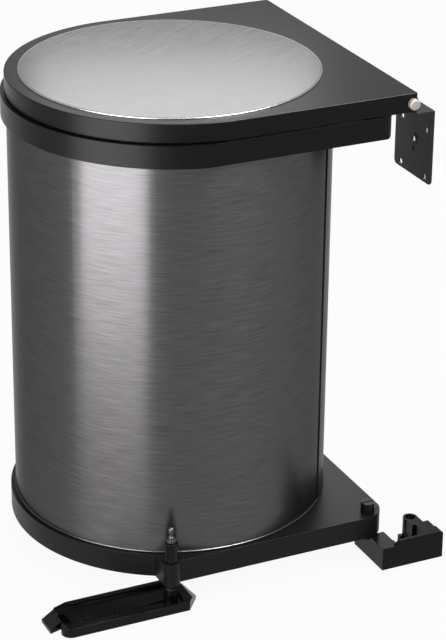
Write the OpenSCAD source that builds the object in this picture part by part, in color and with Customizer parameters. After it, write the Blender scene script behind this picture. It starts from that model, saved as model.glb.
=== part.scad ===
// Swing-out bin for a kitchen cabinet, with a lid that stays in the cabinet.
// The origin is the foot of the floor screw, +X is the cabinet's side wall, -Y its door, +Z up.
// The bin hangs on two pivots on one upright axis near the door, and swings out towards -Y.

/* [Bin body] */
// Outer radius of the steel body
body_r = 131.5; // [110:0.5:150]
// Height of the steel body's sheet
body_h = 350.8; // [260:0.1:420]
// Thickness of the body's sheet
body_t = 0.8; // [0.6:0.1:1.2]
// Angle of the lap seam, measured from the wall side towards the door
seam_angle = 43; // [34:1:50]
// Width of the lap at the seam
seam_w = 20; // [12:1:22]
// Height of the turned-up edge of the body's floor
floor_edge_h = 9; // [5:1:15]

/* [Base tray] */
// Height of the tray's underside above the cabinet floor
floor_gap = 21; // [18:0.5:26]
// Height of the tray
tray_h = 19.5; // [16:0.5:26]
// How far the tray's ring stands out from the body
tray_ledge = 4.2; // [3:0.1:8]
// Thickness of the tray's top
tray_t = 2.5; // [2:0.1:4]
// Thickness of the tray's side
tray_wall = 2.5; // [2:0.1:3.2]
// How far the tray's wall end lies past the pivot axis
tray_past = 14.4; // [12:0.1:18]
// Radius of the tray's corner at the pivot
tray_corner_r = 20; // [12:0.5:21]
// How far the driver tab reaches from the body's axis towards the free side
tab_reach = 66; // [55:1:75]
// Thickness of the closing plate under the tray
under_t = 1.2; // [1:0.1:1.6]

/* [Top frame] */
// How far the frame's rim stands out from the body
frame_ledge = 4.5; // [3.5:0.1:7]
// Height of the frame's skirt
frame_h = 18.5; // [15:0.5:24]
// Thickness of the frame's top and skirt
frame_t = 2; // [1.6:0.1:3]
// Width of the frame's top ring, measured in from the body's sheet
frame_ring_w = 8.7; // [6:0.1:12]
// Radius of the frame's corner at the pivot
frame_corner_r = 6.5; // [5:0.5:7]
// Radius of the lower corner of the frame's skirt at its wall end
frame_end_r = 5.5; // [3:0.5:8]

/* [Pivots] */
// Distance from the pivot axis to the frame's door side
pivot_in_y = 7.5; // [7:0.1:9]
// Distance from the pivot axis to the frame's wall end
pivot_in_x = 6; // [5.5:0.1:8]
// Radius of the upper pivot pin
upper_pin_r = 2.9; // [2:0.1:3]
// Radius of the lower pivot pin
lower_pin_r = 3; // [2.5:0.1:3.2]
// Wall of the pivot bushes
bush_t = 1.3; // [1:0.1:1.5]
// Radius of the cap on the tray's pivot boss
cap_r = 6; // [5.8:0.1:7]
// Height of the cap on the tray's pivot boss
cap_h = 9.5; // [6:0.5:12]

/* [Lid] */
// How far the lid's sides stand out from the body
lid_ledge = 1; // [0.5:0.1:4]
// Height of the lid's skirt
lid_h = 15.7; // [14.5:0.1:20]
// Thickness of the lid's sheet
lid_t = 1.2; // [0.8:0.1:1.4]
// Gap between the frame and the lid's skirt
lid_gap = 0.7; // [0.5:0.1:1.5]
// How far the lid reaches past the pivot axis towards the wall
lid_past = 26; // [24:0.5:32]
// Width of the lid's border around the steel disc
lid_border = 10.7; // [6:0.1:16]
// Height of the steel disc above the lid
disc_rise = 1; // [0.6:0.1:1.6]
// Radius of the lid's axle
axle_r = 3; // [2:0.1:3.1]
// Distance from the axle to the lid's wall edge
axle_in = 3.5; // [3.2:0.1:8]
// Depth of the axle below the top of the lid
axle_drop = 8.7; // [8:0.1:9]

/* [Wall bracket] */
// Thickness of the bracket's steel
steel_t = 1.6; // [1.2:0.1:2]
// Distance from the pivot axis to the cabinet wall
wall_gap = 56.5; // [50:0.5:64]
// Width of the wall plate
plate_w = 59.5; // [54:0.5:70]
// Height of the wall plate
plate_h = 64; // [58:0.5:80]
// Distance from the pivot axis back to the plate's door edge
plate_back = 16.5; // [14:0.5:24]
// Spacing of the wall screws
screw_pitch = 40; // [32:1:44]
// Radius of the wall plate's screw holes
screw_hole_r = 2.6; // [2:0.1:3]
// Width of the folded edge on the plate's door side
hem_w = 7; // [4:0.5:8]

/* [Floor bracket] */
// Height of the floor bracket's arm
arm_h = 20.4; // [16:0.2:20.4]
// Height of the floor bracket's wall and post
post_h = 24.8; // [22:0.1:28]
// Depth of the floor bracket, from its door face to the pivot axis
foot_reach = 30.6; // [28:0.1:34]
// Thickness of the floor bracket's door wall
foot_wall = 10; // [8:0.5:11]
// Width of the floor bracket's arm
arm_w = 14.7; // [12:0.1:18]
// Width of the floor bracket's post
post_w = 17; // [14:0.5:20]
// Radius of the floor screw's hole
floor_hole_r = 2.5; // [2:0.1:3]
// Distance from the pivot axis to the floor screw
screw_dx = 42.5; // [38:0.5:44]

/* [Door driver] */
// Height of the driver's rims
driver_h = 8; // [7:0.5:10]
// Length of the driver
driver_l = 128; // [115:1:150]
// Width of the driver
driver_w = 41.5; // [36:0.5:48]
// Thickness of the driver's base plate
driver_base_t = 3; // [2:0.5:4]
// Length of the driver's screw slot
slot_l = 33; // [20:1:40]
// Width of the driver's screw slot
slot_w = 5.6; // [4.6:0.1:6.5]
// Radius of the driver pin's rod
rod_r = 2.4; // [2:0.1:2.8]
// Radius of the driver pin's sleeve
sleeve_r = 5.3; // [4.5:0.1:5.5]
// Height of the sleeve above the tray
sleeve_rise = 18; // [12:0.5:24]
// Height of the pin's tip above the tray
tip_rise = 31.5; // [28:0.5:36]
// Radius of the driver's ribbed hub
foot_r = 6.4; // [5.5:0.1:6.6]
// Height of the driver's ribbed hub
foot_h = 15; // [12:0.5:16]

/* [Inner bucket] */
// Depth of the bucket's rim below the body's upper edge
bucket_drop = 3.7; // [2:0.1:30]
// Thickness of the bucket's wall
bucket_t = 2; // [1.5:0.1:3]
// How much narrower the bucket is at its foot
bucket_taper = 8; // [4:0.5:14]
// Gap between the bucket's rim and the frame's opening
bucket_gap = 1.2; // [0.8:0.1:3]
// Width of the bucket's grip holes
grip_w = 76; // [60:1:90]
// Height of the bucket's grip holes
grip_h = 22; // [16:1:28]

/* [Hidden] */

// Clearances
run_gap = 0.05;
loose_gap = 0.3;
seat_gap = 0.2;
over = 1;
round_fn = 96;
small_fn = 24;
big_fn = 240;

// Levels
tray_z = floor_gap;
tray_top = tray_z + tray_h;
shell_top = tray_top + body_h;
frame_top = shell_top + frame_t;
frame_low = frame_top - frame_h;
lid_low = frame_top + lid_gap;
lid_top = lid_low + lid_h;
lid_under = lid_top - lid_t;
axle_z = lid_top - axle_drop;

// Radii around the body's axis
tray_lip = 0.2;
frame_side = 1.5;
frame_flat = 4.5;
tray_r = body_r + tray_ledge;
tray_half = tray_r - tray_lip;
frame_r = body_r + frame_ledge;
frame_half = body_r + frame_side;
shell_in_r = body_r - body_t;
frame_hole_r = shell_in_r - frame_ring_w;
lid_half = body_r + lid_ledge;
disc_r = lid_half - lid_border;

// The pivot axis, and the body's axis behind and beside it
screw_dy = 1.5;
pivot_x = -screw_dx;
pivot_y = -screw_dy;
bin_dx = frame_r - frame_flat - pivot_in_x;
bin_dy = frame_half - pivot_in_y;
bin_x = pivot_x - bin_dx;
bin_y = pivot_y + bin_dy;

// The wall bracket
bush_flange_t = 0.5;
arm_drop = 13.2;
riser_in = 18;
eye_r = 5.4;
hole_shift = 7.4;
hole_shift_y = 0.8;
extra_hole_rise = 6.3;
ring_r = 5;
ring_t = 0.4;
dimple_drop = 2;
dimple_r = 2.2;
dimple_t = 0.5;
plate_corner_r = 4;
hem_t = 0.9;
wall_x = pivot_x + wall_gap;
plate_y = pivot_y + plate_back;
arm_high = frame_top + bush_flange_t + loose_gap;
arm_top = arm_high + steel_t;
plate_top = arm_top - arm_drop;
plate_hole_z = plate_top - plate_h / 2 - hole_shift;
arm_turn_x = 12;

// The lid's axle and its lugs
lug_t = 2.5;
lug_r = 6.5;
lug_front = 3.5;
lug_back = 45.5;
axle_x = pivot_x + lid_past - axle_in;
axle_end = 3;
cap_end_r = 4.5;
cap_end_t = 3.4;
head_r = 4.4;
head_t = 1.8;
pin_depth = 14;

// The floor bracket
arm_in = 1;
pedestal_r = 5.6;
pedestal_low = 4;
pedestal_rise = 5.5;
rib_w = 6.4;
rib_back = 18.5;
arm_back = 4.5;
slope_in = 10.5;
slope_w = 4;
post_back = 5.8;
post_r = 6.2;
post_in = 3.4;
lug_foot_w = 4;
lug_foot_h = 8;
end_r = 3;
foot_rim_t = 2.6;
pocket_z = 9;
pocket_in = 2.5;
pocket_l = 16.5;
cbore_r = 4.4;
cbore_depth = 2;
washer_t = 0.6;
washer_r = 5.5;
foot_z = 1;
lower_pin_rise = 1.5;
lower_pin_top = tray_top + lower_pin_rise;

// The tray
boss_r = 8;
tab_boss_r = 7.5;
pin_in = 2;
screw_ring_r = 104;
screw_n = 4;
screw_r = 1.9;
screw_boss_r = 5;
pan_r = 3.8;
pan_t = 1.4;
screw_l = 9;
under_cut_r = 15;
body_screw_ring_r = 84;
body_screw_l = 12;
blind_gap = 1;
tray_back = 30;
cap_slot_w = 1.5;
flute_n = 12;
flute_r = 0.95;
flute_out = 0.5;

// The frame, its rivets and the lid's lift
rivet_turns = [30, 60, 120, 150, 210, 240];
rivet_r = 2;
rivet_head_r = 3.6;
rivet_t = 1.1;
rivet_l = 3.4;
cam_in_r = 11;
cam_out_r = 17;
cam_turn = 90;
cam_step = 6;
cam_land_n = 2;
cam_low_h = 0.5;
cam_play = 0.3;
tilt_share = 0.2;
slope_gap = 0.45;
follower_r = 3;
cam_mid_r = (cam_in_r + cam_out_r) / 2;
follower_x = pivot_x - cam_mid_r;
follower_arm = axle_x - follower_x;
follower_low = frame_top + cam_low_h + slope_gap + loose_gap;
follower_dz = axle_z - follower_low;
tilt = cam_turn * tilt_share;
cam_rise = follower_arm * sin(tilt) + follower_dz * (1 - cos(tilt)) - cam_play;

// The lid
ear_r = 5.4;
disc_t = 0.8;
disc_line_w = 0.8;
disc_line_in = 4.2;
disc_line_t = 0.3;
stud_ring_r = 96;
stud_n = 6;
stud_r = 1.6;
stud_l = 6;
nut_r = 5;
nut_t = 1.5;
bush_thin = 0.4;
bush_r = axle_r + bush_t - bush_thin;
bush_lip_r = 4.5;
bush_lip_t = 0.6;
bush_l = 5;

// The driver and its pin
rib_n = 18;
rib_r = 0.55;
clip_r = 3.9;
clip_t = 2.6;
clip_gap = 1;
neck_r = 1.7;
neck_h = 3;
driver_past = 22.5;
driver_front = 14;
driver_floor_t = 5;
rim_w = 4.5;
front_rim_w = 2.5;
tip_l = 12;
tip_in = 8;
end_in = 7.5;
end_cut = 12;
end_slope = 7;
notch_l = 13;
notch_w = 5;
hook_w = 6;
hook_l = 16;
hook_in = 10.5;
hook_front = 9.5;
slot_in = 26;
slot_front = 12.6;
groove_l = 36;
groove_w = 5;
groove_t = 1.6;
circlip_r = 4.4;
circlip_t = 1;

// The bucket
bucket_low = tray_top + body_t + loose_gap;
bucket_h = shell_top - bucket_drop - bucket_low;
rim_r = frame_hole_r - bucket_gap;
rim_fold = 4;
rim_t = 2.2;
rim_drop = 9;
bucket_r = rim_r - rim_fold;
grip_drop = 20;
grip_cut_l = 32;

// Colours
steel_c = "silver";
dark_steel_c = "dimgray";
black_c = "#26262a";
plastic_c = "#1e1e20";
nylon_c = "gainsboro";
bucket_c = "#55585c";

module at_bin() {
    translate([bin_x, bin_y, 0]) children();
}

module at_pivot() {
    translate([pivot_x, pivot_y, 0]) children();
}

module at_rod() {
    translate([bin_x - tab_reach + tab_boss_r, bin_y - tray_half + pin_in, 0]) children();
}

// A strip whose corner at the wall end of the door side is rounded
module corner_strip(x0, x1, y0, y1, r) {
    translate([x0, y0]) square([x1 - x0 - r, y1 - y0]);
    translate([x0, y0 + r]) square([x1 - x0, y1 - y0 - r]);
    translate([x1 - r, y0 + r]) circle(r, $fn = round_fn);
}

module tray_plan(inset) {
    end_x = bin_dx + tray_past;
    circle(tray_r - inset, $fn = big_fn);
    corner_strip(-tab_reach + inset, end_x - inset, -tray_half + inset, 0, tray_corner_r - inset);
    translate([0, -over]) square([end_x - inset, tray_back - inset + over]);
}

module frame_plan(inset) {
    end_x = bin_dx + pivot_in_x;
    intersection() {
        circle(frame_r - inset, $fn = big_fn);
        square(2 * [frame_r, frame_half - inset], center = true);
    }
    corner_strip(0, end_x - inset, -frame_half + inset, 0, frame_corner_r - inset);
}

module lid_plan(inset) {
    circle(lid_half - inset, $fn = big_fn);
    translate([0, -lid_half + inset])
        square([bin_dx + lid_past - inset, 2 * (lid_half - inset)]);
}

module ring(r_out, r_in, h) {
    difference() {
        cylinder(h = h, r = r_out, $fn = round_fn);
        translate([0, 0, -over]) cylinder(h = h + 2 * over, r = r_in, $fn = round_fn);
    }
}

// A pan-head screw, standing on its shank's end
module screw(shank_l) {
    cylinder(h = shank_l, r = screw_r, $fn = round_fn);
    translate([0, 0, shank_l]) cylinder(h = pan_t, r = pan_r, $fn = round_fn);
}

// One bent steel bracket: wall plate, low arm, riser and high arm with the pivot's eye
module wall_bracket() {
    low_z = plate_top - steel_t;
    riser_x = wall_x - riser_in;
    plate_z = plate_top - plate_h;
    mark_x = wall_x - steel_t;
    mid_y = plate_y + plate_w / 2 - hole_shift_y;
    color(black_c) difference() {
        union() {
            translate([wall_x - steel_t, plate_y, plate_z + plate_corner_r])
                cube([steel_t, plate_w, plate_h - plate_corner_r]);
            translate([wall_x - steel_t, plate_y + plate_corner_r, plate_z])
                cube([steel_t, plate_w - 2 * plate_corner_r, plate_corner_r + over]);
            for (y = [plate_y + plate_corner_r, plate_y + plate_w - plate_corner_r])
                translate([wall_x - steel_t, y, plate_z + plate_corner_r]) rotate([0, 90, 0])
                    cylinder(h = steel_t, r = plate_corner_r, $fn = round_fn);
            translate([wall_x - steel_t - hem_t, plate_y, plate_z + plate_corner_r])
                cube([hem_t, hem_w, plate_h - plate_corner_r - steel_t]);
            translate([riser_x, plate_y, low_z]) cube([riser_in, plate_w, steel_t]);
            translate([riser_x, plate_y, low_z]) cube([steel_t, plate_w, arm_drop + steel_t]);
            translate([0, 0, arm_high]) linear_extrude(steel_t) high_arm_plan();
            translate([mark_x, mid_y, plate_hole_z + extra_hole_rise]) rotate([0, -90, 0])
                cylinder(h = ring_t, r = ring_r, $fn = round_fn);
        }
        for (y = [-1, 1], z = [-1, 1])
            translate([0, mid_y + y * screw_pitch / 2, plate_hole_z + z * screw_pitch / 2])
                plate_hole();
        translate([0, mid_y, plate_hole_z + extra_hole_rise]) plate_hole();
        translate([mark_x + dimple_t, mid_y, plate_hole_z - dimple_drop]) rotate([0, -90, 0])
            cylinder(h = over, r = dimple_r, $fn = round_fn);
        at_pivot() translate([0, 0, arm_high - over])
            cylinder(h = steel_t + 2 * over, r = upper_pin_r, $fn = round_fn);
    }
}

module plate_hole() {
    translate([wall_x + over, 0, 0]) rotate([0, -90, 0])
        cylinder(h = steel_t + hem_t + 2 * over, r = screw_hole_r, $fn = round_fn);
}

// The high arm's outline, from the riser to the eye over the pivot
module high_arm_plan() {
    riser_x = wall_x - riser_in;
    door_y = pivot_y - eye_r;
    translate([pivot_x, pivot_y]) circle(eye_r, $fn = round_fn);
    polygon([[pivot_x, door_y],
             [axle_x + lug_r, door_y],
             [riser_x + steel_t, plate_y],
             [riser_x + steel_t, pivot_y + lug_back + lug_t * 2],
             [pivot_x + arm_turn_x, pivot_y + lug_back + lug_t * 2],
             [pivot_x + eye_r, pivot_y + eye_r],
             [pivot_x, pivot_y + eye_r]]);
}

// Two lugs on the high arm hold the lid's axle
module hinge_lugs() {
    foot_h = axle_z - arm_top;
    color(black_c) for (y = [lug_front, lug_back])
        translate([axle_x, pivot_y + y + lug_t, axle_z]) rotate([90, 0, 0]) difference() {
            union() {
                cylinder(h = lug_t, r = lug_r, $fn = round_fn);
                translate([-lug_r, -foot_h, 0]) cube([2 * lug_r, foot_h, lug_t]);
            }
            translate([-lug_r - over, -foot_h - 2 * lug_r, -over])
                cube([2 * (lug_r + over), 2 * lug_r, lug_t + 2 * over]);
            translate([0, 0, -over])
                cylinder(h = lug_t + 2 * over, r = axle_r + run_gap, $fn = round_fn);
        }
}

// The upper pivot pin is riveted into the eye and hangs down into the frame's bush
module upper_pivot_pin() {
    color(steel_c) at_pivot() {
        translate([0, 0, frame_top - pin_depth])
            cylinder(h = arm_top - frame_top + pin_depth, r = upper_pin_r, $fn = round_fn);
        translate([0, 0, arm_top]) cylinder(h = head_t, r = head_r, $fn = round_fn);
    }
}

module lid_axle() {
    half = lid_half + axle_end;
    color(steel_c) translate([axle_x, bin_y + half, axle_z]) rotate([90, 0, 0])
        cylinder(h = 2 * half, r = axle_r, $fn = round_fn);
}

// Push-on caps at the axle's two ends, over the axle's last stretch
module axle_caps() {
    skin = lid_half + bush_lip_t + loose_gap;
    color(steel_c) for (side = [-1, 1])
        translate([axle_x, bin_y + side * skin, axle_z]) rotate([side * -90, 0, 0]) difference() {
            cylinder(h = cap_end_t, r = cap_end_r, $fn = round_fn);
            translate([0, 0, -over])
                cylinder(h = axle_end - bush_lip_t - loose_gap + over, r = axle_r, $fn = round_fn);
        }
}

// Moulded foot on the cabinet floor: an arm under the tray, a door wall with a pocket behind it,
// and a screw post
module floor_bracket() {
    face_y = pivot_y - foot_reach;
    arm_x = pivot_x - arm_in;
    end_x = wall_x;
    post_x = -post_w / 2 + post_in;
    wall_y = face_y + foot_wall;
    color(plastic_c) difference() {
        union() {
            translate([arm_x, face_y, 0]) cube([arm_w, foot_reach - arm_back, arm_h]);
            translate([arm_x, face_y, 0]) cube([rib_w, foot_reach + rib_back, arm_h]);
            at_pivot() translate([0, 0, arm_h - pedestal_low])
                cylinder(h = pedestal_low + pedestal_rise, r = pedestal_r, $fn = round_fn);
            door_wall(arm_x, end_x, face_y);
            linear_extrude(post_h) post_plan(post_x, end_x, wall_y);
            translate([post_x - lug_foot_w, 0, 0]) cube([lug_foot_w + over, lug_foot_w, lug_foot_h]);
        }
        translate([pivot_x + slope_in + slope_w, face_y + foot_rim_t, pocket_z])
            cube([post_x + pocket_in - pivot_x - slope_in - slope_w, pocket_l, post_h]);
        translate([pivot_x + slope_in, face_y + foot_rim_t, arm_h])
            cube([slope_w + over, foot_wall, post_h]);
        translate([0, 0, -over])
            cylinder(h = post_h + 2 * over, r = floor_hole_r, $fn = round_fn);
        translate([0, 0, post_h - cbore_depth])
            cylinder(h = cbore_depth + over, r = cbore_r, $fn = round_fn);
        at_pivot() translate([0, 0, arm_h - pedestal_low])
            cylinder(h = pedestal_rise + pedestal_low + over, r = lower_pin_r, $fn = round_fn);
    }
}

// The door wall rises in a slope beside the arm and is rounded off at the wall end
module door_wall(arm_x, end_x, face_y) {
    translate([0, face_y + foot_wall, 0]) rotate([90, 0, 0]) linear_extrude(foot_wall) {
        polygon([[arm_x, 0], [end_x - end_r, 0], [end_x - end_r, post_h],
                 [pivot_x + slope_in + slope_w, post_h], [pivot_x + slope_in, arm_h], [arm_x, arm_h]]);
        translate([end_x - end_r - over, 0]) square([end_r + over, post_h - end_r]);
        translate([end_x - end_r, post_h - end_r]) circle(end_r, $fn = round_fn);
    }
}

// The post ends in a half-round around the floor screw
module post_plan(post_x, end_x, wall_y) {
    circle(post_r, $fn = round_fn);
    translate([post_x, wall_y - over]) square([post_w - post_back, -wall_y + over]);
    translate([post_x, wall_y - over]) square([end_x - end_r - post_x, -wall_y / 2 + over]);
}

module lower_pivot_pin() {
    color(steel_c) at_pivot() translate([0, 0, arm_h - pedestal_low])
        cylinder(h = lower_pin_top - arm_h + pedestal_low, r = lower_pin_r, $fn = round_fn);
}

// The washer lies on the pedestal and carries the bin
module thrust_washer() {
    color(nylon_c) at_pivot() translate([0, 0, arm_h + pedestal_rise])
        ring(washer_r, lower_pin_r + run_gap, washer_t);
}

module base_tray() {
    color(black_c) difference() {
        union() {
            at_bin() translate([0, 0, tray_z]) difference() {
                linear_extrude(tray_h) tray_plan(0);
                translate([0, 0, -over]) linear_extrude(tray_h - tray_t + over) tray_plan(tray_wall);
            }
            translate([0, 0, tray_z]) at_rod() cylinder(h = tray_h, r = tab_boss_r, $fn = round_fn);
            at_pivot() translate([0, 0, boss_low()])
                cylinder(h = tray_top - boss_low(), r = boss_r, $fn = round_fn);
            at_bin() screw_places(screw_ring_r) translate([0, 0, tray_z + under_t])
                cylinder(h = tray_h - under_t, r = screw_boss_r, $fn = round_fn);
            at_bin() screw_places(body_screw_ring_r) translate([0, 0, tray_top - body_screw_l])
                cylinder(h = body_screw_l, r = screw_boss_r, $fn = round_fn);
        }
        translate([0, 0, tray_z - over]) at_rod()
            cylinder(h = tray_h + 2 * over, r = sleeve_r, $fn = round_fn);
        at_pivot() translate([0, 0, tray_z])
            cylinder(h = tray_h + over, r = lower_pin_r + bush_t, $fn = round_fn);
        at_bin() screw_places(screw_ring_r) translate([0, 0, tray_z])
            cylinder(h = screw_l + over, r = screw_r + run_gap, $fn = round_fn);
        at_bin() screw_places(body_screw_ring_r) translate([0, 0, tray_top - body_screw_l + blind_gap])
            cylinder(h = body_screw_l, r = screw_r + run_gap, $fn = round_fn);
    }
}

// Underside of the tray's pivot boss, one seat gap above the washer
function boss_low() = arm_h + pedestal_rise + washer_t + seat_gap;

module screw_places(r) {
    for (i = [0 : screw_n - 1])
        rotate([0, 0, (i + 0.5) * 360 / screw_n]) translate([r, 0, 0]) children();
}

// The plate that closes the tray from below, cut away around the pivot and the driver pin
module base_underplate() {
    color(dark_steel_c) difference() {
        at_bin() translate([0, 0, tray_z]) linear_extrude(under_t) tray_plan(tray_wall + loose_gap);
        at_pivot() translate([0, 0, tray_z - over])
            cylinder(h = under_t + 2 * over, r = under_cut_r, $fn = round_fn);
        translate([0, 0, tray_z - over]) at_rod()
            cylinder(h = under_t + 2 * over, r = tab_boss_r + loose_gap, $fn = round_fn);
        at_bin() screw_places(screw_ring_r) translate([0, 0, tray_z - over])
            cylinder(h = under_t + 2 * over, r = screw_r + loose_gap, $fn = round_fn);
    }
}

module underplate_screws() {
    color(steel_c) at_bin() screw_places(screw_ring_r)
        translate([0, 0, tray_z + screw_l]) mirror([0, 0, 1]) screw(screw_l);
}

module body_shell() {
    color(dark_steel_c) difference() {
        at_bin() translate([0, 0, tray_top]) difference() {
            cylinder(h = body_h, r = body_r, $fn = big_fn);
            translate([0, 0, -over]) cylinder(h = body_h + 2 * over, r = shell_in_r, $fn = big_fn);
        }
        rivet_holes();
    }
}

// The outer leaf of the lap where the sheet closes on itself
module seam_lap() {
    turn = seam_w / body_r * 180 / PI;
    color(dark_steel_c) at_bin() translate([0, 0, tray_top + seat_gap])
        rotate([0, 0, -seam_angle]) rotate_extrude(angle = turn, $fn = big_fn)
            translate([body_r + run_gap, 0]) square([body_t, frame_low - tray_top - 2 * seat_gap]);
}

// Pressed floor with a turned-up edge inside the shell
module body_floor() {
    edge_r = shell_in_r - run_gap;
    color(dark_steel_c) at_bin() translate([0, 0, tray_top]) difference() {
        cylinder(h = floor_edge_h, r = edge_r, $fn = big_fn);
        translate([0, 0, body_t]) cylinder(h = floor_edge_h, r = edge_r - body_t, $fn = big_fn);
        screw_places(body_screw_ring_r) translate([0, 0, -over])
            cylinder(h = body_t + 2 * over, r = screw_r + run_gap, $fn = round_fn);
    }
}

// Countersunk screws hold the floor down on the tray, flush with it
module body_screws() {
    color(steel_c) at_bin() screw_places(body_screw_ring_r)
        translate([0, 0, tray_top - body_screw_l + 2 * blind_gap])
            cylinder(h = body_screw_l + body_t - 2 * blind_gap, r = screw_r, $fn = round_fn);
}

module top_frame() {
    end_x = bin_dx + pivot_in_x;
    inner_r = body_r + seat_gap;
    under_h = frame_h - frame_t;
    color(black_c) difference() {
        union() {
            at_bin() translate([0, 0, frame_low]) difference() {
                linear_extrude(frame_h) frame_plan(0);
                translate([0, 0, -over]) linear_extrude(under_h + over) union() {
                    circle(inner_r, $fn = big_fn);
                    difference() {
                        frame_plan(frame_t);
                        circle(frame_r - frame_t, $fn = big_fn);
                    }
                }
                translate([0, 0, -over])
                    cylinder(h = frame_h + 2 * over, r = frame_hole_r, $fn = big_fn);
                translate([end_x - frame_end_r, -frame_half - over, -over])
                    end_rounding();
            }
            at_pivot() translate([0, 0, frame_low + frame_end_r])
                cylinder(h = frame_h - frame_end_r, r = pivot_in_x, $fn = round_fn);
        }
        at_pivot() translate([0, 0, frame_low - over])
            cylinder(h = frame_h + 2 * over, r = upper_pin_r + bush_t, $fn = round_fn);
        rivet_holes();
    }
}

// Cutter that rounds the skirt's lower corner at its wall end
module end_rounding() {
    size = frame_end_r + over;
    difference() {
        cube([size, frame_half + over, size]);
        translate([0, -over, size]) rotate([-90, 0, 0])
            cylinder(h = frame_half + 3 * over, r = frame_end_r, $fn = round_fn);
    }
}

module rivet_places() {
    at_bin() for (a = rivet_turns)
        rotate([0, 0, a]) translate([shell_in_r - seat_gap / 2, 0, frame_low + frame_h / 2])
            rotate([0, 90, 0]) children();
}

module rivet_holes() {
    rivet_places() translate([0, 0, -over])
        cylinder(h = rivet_l + over, r = rivet_r + run_gap, $fn = round_fn);
}

// Blind rivets join the sheet to the frame, with their heads inside the shell
module frame_rivets() {
    color(steel_c) rivet_places() {
        cylinder(h = rivet_l, r = rivet_r, $fn = round_fn);
        translate([0, 0, -rivet_t]) cylinder(h = rivet_t, r = rivet_head_r, $fn = round_fn);
    }
}

// A quarter-turn ramp around the upper pivot: it rises by cam_rise over cam_turn degrees
module lift_cam() {
    n = cam_turn / cam_step;
    angle = [for (i = [-cam_land_n : n]) cam_turn + i * cam_step];
    height = [for (i = [-cam_land_n : n]) cam_low_h + cam_rise * (1 - max(i, 0) / n)];
    last = len(angle) - 1;
    points = [for (i = [0 : last], k = [0 : 3])
              let(r = (k == 0 || k == 3) ? cam_in_r : cam_out_r)
              [r * cos(angle[i]), r * sin(angle[i]), k > 1 ? height[i] : 0]];
    sides = [for (i = [0 : last - 1], k = [0 : 3])
             let(a = i * 4 + k, b = i * 4 + (k + 1) % 4)
             each [[a, b + 4, a + 4], [a, b, b + 4]]];
    far = last * 4;
    ends = [[0, 2, 1], [0, 3, 2], [far, far + 1, far + 2], [far, far + 2, far + 3]];
    color(nylon_c) at_pivot() translate([0, 0, frame_top]) polyhedron(points, concat(sides, ends));
}

// Flanged bush between the upper pin and the frame
module upper_bush() {
    depth = frame_h - frame_end_r / 2;
    color(nylon_c) at_pivot() {
        translate([0, 0, frame_top - depth])
            ring(upper_pin_r + bush_t - run_gap, upper_pin_r + run_gap, depth);
        translate([0, 0, frame_top]) ring(eye_r, upper_pin_r + run_gap, bush_flange_t);
    }
}

module lower_bush() {
    color(nylon_c) at_pivot() translate([0, 0, boss_low()])
        ring(lower_pin_r + bush_t - run_gap, lower_pin_r + run_gap, tray_top - boss_low());
}

// Slotted cap over the pin's end, standing on the tray
module pivot_cap() {
    color(plastic_c) at_pivot() translate([0, 0, tray_top]) difference() {
        cylinder(h = cap_h, r = cap_r, $fn = round_fn);
        translate([0, 0, -over]) cylinder(h = lower_pin_top - tray_top + over + loose_gap,
                                          r = lower_pin_r + loose_gap, $fn = round_fn);
        for (i = [0 : flute_n - 1]) rotate([0, 0, i * 360 / flute_n])
            translate([cap_r + flute_out, 0, cap_slot_w])
                cylinder(h = cap_h - 2 * cap_slot_w, r = flute_r, $fn = round_fn);
        translate([-cap_r - over, -cap_slot_w / 2, cap_h - cap_slot_w])
            cube([2 * (cap_r + over), cap_slot_w, cap_slot_w + over]);
    }
}

// Steel rod through the tray's tab, necked below its round tip
module driver_rod() {
    top = tray_top + tip_rise;
    neck_z = top - rod_r - 2 * neck_h;
    color(steel_c) at_rod() {
        translate([0, 0, foot_z]) cylinder(h = neck_z - foot_z, r = rod_r, $fn = round_fn);
        translate([0, 0, neck_z]) cylinder(h = neck_h, r = neck_r, $fn = round_fn);
        translate([0, 0, neck_z + neck_h]) cylinder(h = neck_h, r = rod_r, $fn = round_fn);
        translate([0, 0, top - rod_r]) sphere(rod_r, $fn = round_fn);
    }
}

module rod_sleeve() {
    color(plastic_c) at_rod() translate([0, 0, tray_z])
        ring(sleeve_r - run_gap, rod_r + run_gap, tray_h + sleeve_rise);
}

module rod_clip() {
    color(steel_c) at_rod() translate([0, 0, tray_top + sleeve_rise + clip_gap / 2])
        ring(clip_r, rod_r + run_gap, clip_t);
}

// Ring on the rod that keeps the driver from dropping off
module rod_circlip() {
    color(steel_c) at_rod() translate([0, 0, foot_h + loose_gap])
        ring(circlip_r, rod_r + run_gap, circlip_t);
}

// Ribbed hub pressed into the driver, which turns on the rod
module driver_hub() {
    core_r = foot_r - rib_r;
    color(plastic_c) at_rod() difference() {
        union() {
            cylinder(h = foot_h, r = core_r, $fn = round_fn);
            for (i = [0 : rib_n - 1]) rotate([0, 0, i * 360 / rib_n])
                translate([core_r, 0, driver_h]) cylinder(h = foot_h - driver_h, r = rib_r, $fn = small_fn);
        }
        translate([0, 0, foot_z - over])
            cylinder(h = foot_h + over, r = rod_r + run_gap, $fn = round_fn);
    }
}

module lid_shell() {
    end_x = bin_dx + lid_past;
    color(black_c) difference() {
        union() {
            lid_pan(end_x);
            for (side = [-1, 1])
                translate([axle_x, bin_y + side * (lid_half - lid_t / 2), axle_z]) rotate([90, 0, 0])
                    cylinder(h = lid_t, r = ear_r, center = true, $fn = round_fn);
        }
        translate([axle_x, bin_y + lid_half + over, axle_z]) rotate([90, 0, 0])
            cylinder(h = 2 * (lid_half + over), r = bush_r + run_gap, $fn = round_fn);
    }
}

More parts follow.
